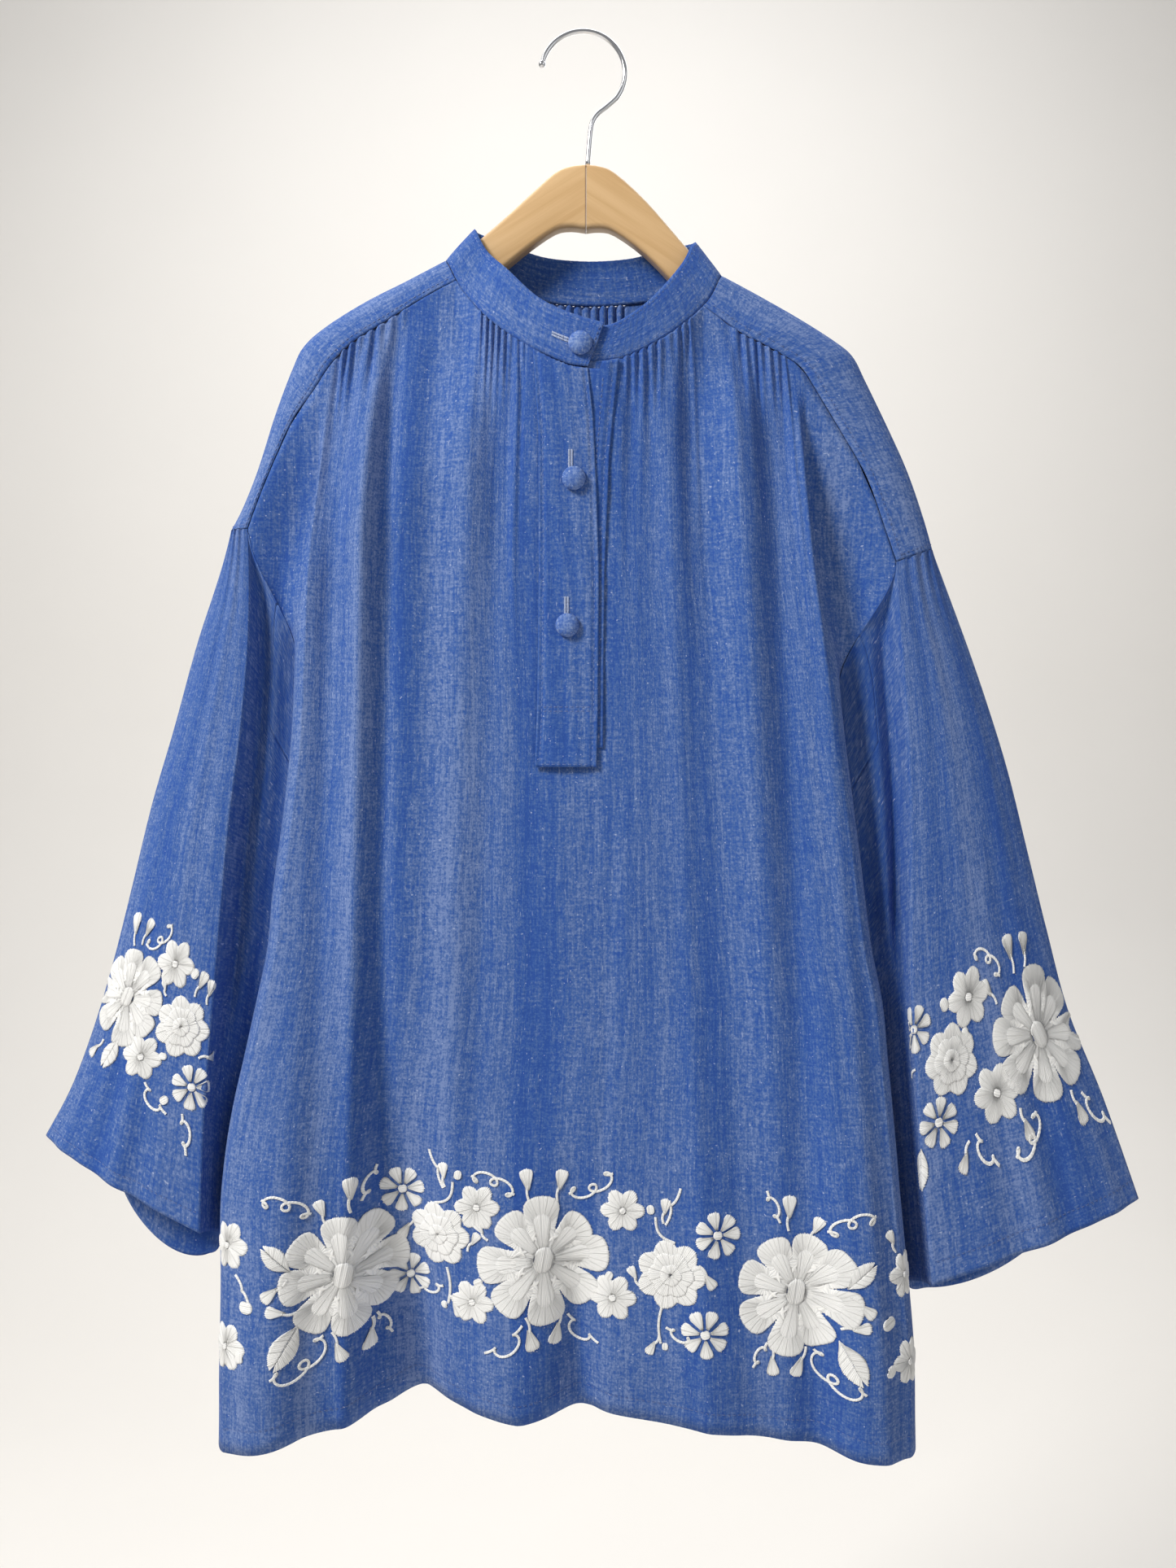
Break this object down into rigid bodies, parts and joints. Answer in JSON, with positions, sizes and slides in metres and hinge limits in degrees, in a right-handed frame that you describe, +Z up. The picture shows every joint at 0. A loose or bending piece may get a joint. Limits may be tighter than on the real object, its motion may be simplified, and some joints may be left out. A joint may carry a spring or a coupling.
{
  "type": "tunic on hanger",
  "caption": "Loose cotton tunic with gathered neck, saddle shoulders and wide sleeves, on a wooden hanger.",
  "frame": {"origin": "underside of the crown of the hanger's hook, in the middle plane of the hanger", "axes": "+Z up, +X to the right as seen from the front, the front of the garment faces -Y"},
  "size_m": [0.793, 0.0947, 1.0145],
  "materials": {
    "chambray": "matt woven cotton",
    "varnished_wood": "satin varnish",
    "chrome": "polished"
  },
  "bodies": {
    "root": {"back_body": "chambray", "button_1": "chambray", "button_2": "chambray", "button_3": "chambray", "collar_band": "chambray", "front_body": "chambray", "gusset_left": "chambray", "gusset_right": "chambray", "hanger_left": "varnished_wood", "hanger_right": "varnished_wood", "hook": "chrome", "placket_over": "chambray", "placket_under": "chambray", "saddle_left": "chambray", "saddle_right": "chambray", "sleeve_left": "chambray", "sleeve_right": "chambray"}
  },
  "joints": []
}
